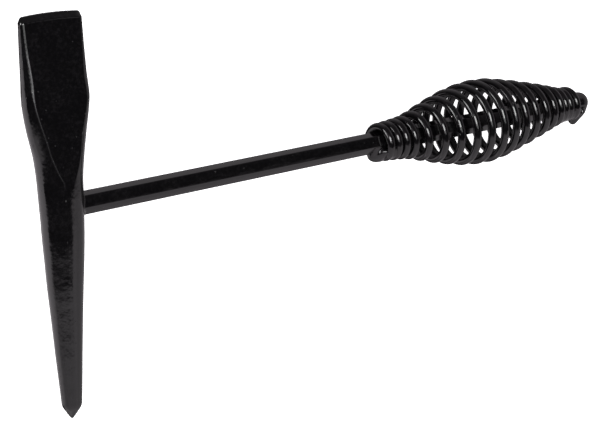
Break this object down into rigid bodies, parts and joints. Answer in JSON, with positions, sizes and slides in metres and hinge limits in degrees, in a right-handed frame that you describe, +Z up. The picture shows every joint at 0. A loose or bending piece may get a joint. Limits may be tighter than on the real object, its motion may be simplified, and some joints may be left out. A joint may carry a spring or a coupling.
{
  "type": "chipping hammer",
  "caption": "Welder's chipping hammer: forged head with a chisel blade and a conical pick, on a hexagonal bar with a barrel-shaped coil-spring grip, gloss black.",
  "frame": {"origin": "middle of the footprint on the surface it lies on, under the belly of the spring", "axes": "+X along the bar from the head to the grip's end, +Y from the pick to the chisel edge, +Z up, square to the chisel's broad faces"},
  "size_m": [0.2911, 0.1604, 0.038],
  "materials": {
    "head_paint": "gloss black enamel over a forged surface",
    "bar_paint": "gloss black enamel over drawn hexagonal bar",
    "grip_paint": "gloss black enamel over round spring wire",
    "weld_paint": "gloss black enamel over a rippled weld bead"
  },
  "bodies": {
    "root": {"head_forging": "head_paint", "hex_shank": "bar_paint", "spring_grip": "grip_paint", "eye_weld": "weld_paint", "front_grip_weld": "weld_paint", "rear_grip_weld": "weld_paint"}
  },
  "joints": []
}
